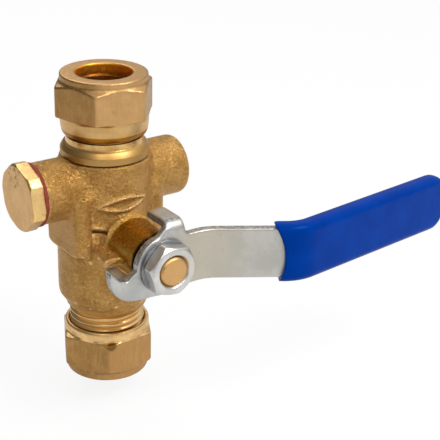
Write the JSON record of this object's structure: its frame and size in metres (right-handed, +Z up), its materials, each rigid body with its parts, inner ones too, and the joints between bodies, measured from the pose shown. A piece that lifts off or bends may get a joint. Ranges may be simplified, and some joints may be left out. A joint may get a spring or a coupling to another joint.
{
  "type": "shut-off valve",
  "caption": "Brass lever shut-off ball valve for 15 mm pipe, with compression nuts and a plugged drain tube across the body, shown closed.",
  "frame": {"origin": "centre of the lower pipe hole, in the end face of the lower nut", "axes": "+Z up along the pipe, +X towards the closed lever's grip, -Y out along the stem"},
  "size_m": [0.1199, 0.058, 0.087],
  "materials": {
    "forged_brass": "blasted forging",
    "turned_brass": "fine turned",
    "nut_brass": "satin",
    "olive_brass": "bright",
    "plated_steel": "zinc plated",
    "washer_steel": "dull plated",
    "blue_vinyl": "dipped, glossy",
    "plated_ball": "polished",
    "seat_white": "waxy",
    "seal_rubber": "smooth",
    "thread_seal": "dark sealant",
    "red_fibre": "pressed fibre"
  },
  "bodies": {
    "valve": {"valve_body": "forged_brass", "end_piece": "turned_brass", "joint_ring": "thread_seal", "lower_seat": "seat_white", "upper_seat": "seat_white", "thrust_washer": "seat_white"},
    "lever_set": {"lever": "plated_steel", "grip_sleeve": "blue_vinyl", "lock_washer": "washer_steel", "lever_nut": "plated_steel", "stem": "turned_brass", "inner_seal_ring": "seal_rubber", "outer_seal_ring": "seal_rubber", "ball": "plated_ball"},
    "upper_olive_ring": {"upper_olive": "olive_brass"},
    "upper_nut_ring": {"upper_nut": "nut_brass"},
    "lower_olive_ring": {"lower_olive": "olive_brass"},
    "lower_nut_ring": {"lower_nut": "nut_brass"},
    "drain_washer": {"fibre_washer": "red_fibre"},
    "drain_plug_screw": {"drain_plug": "nut_brass"}
  },
  "joints": [
    {"name": "lever_turn", "type": "hinge", "parent": "valve", "child": "lever_set", "pos_m": [0, -0.028, 0.0428], "axis": [0, -1, 0], "range_deg": [0, 90]},
    {"name": "upper_nut_travel", "type": "slide", "parent": "valve", "child": "upper_olive_ring", "axis": [0, 0, 1], "range_m": [0, 0.00725]},
    {"name": "upper_nut_turn", "type": "hinge", "parent": "upper_olive_ring", "child": "upper_nut_ring", "pos_m": [0, 0, 0.08], "axis": [0, 0, 1], "range_deg": [0, 1440]},
    {"name": "lower_nut_travel", "type": "slide", "parent": "valve", "child": "lower_olive_ring", "axis": [0, 0, -1], "range_m": [0, 0.00725]},
    {"name": "lower_nut_turn", "type": "hinge", "parent": "lower_olive_ring", "child": "lower_nut_ring", "pos_m": [0, 0, 0.008], "axis": [0, 0, -1], "range_deg": [0, 1440]},
    {"name": "drain_plug_travel", "type": "slide", "parent": "valve", "child": "drain_washer", "axis": [-1, 0, 0], "range_m": [0, 0.00735]},
    {"name": "drain_plug_turn", "type": "hinge", "parent": "drain_washer", "child": "drain_plug_screw", "pos_m": [-0.024, 0, 0.0568], "axis": [-1, 0, 0], "range_deg": [0, 1980]}
  ],
  "couplings": [
    {"joint": "upper_nut_turn", "follows": "upper_nut_travel", "rad_per_m": 3463.7},
    {"joint": "lower_nut_turn", "follows": "lower_nut_travel", "rad_per_m": 3463.7},
    {"joint": "drain_plug_turn", "follows": "drain_plug_travel", "rad_per_m": 4699.5}
  ]
}
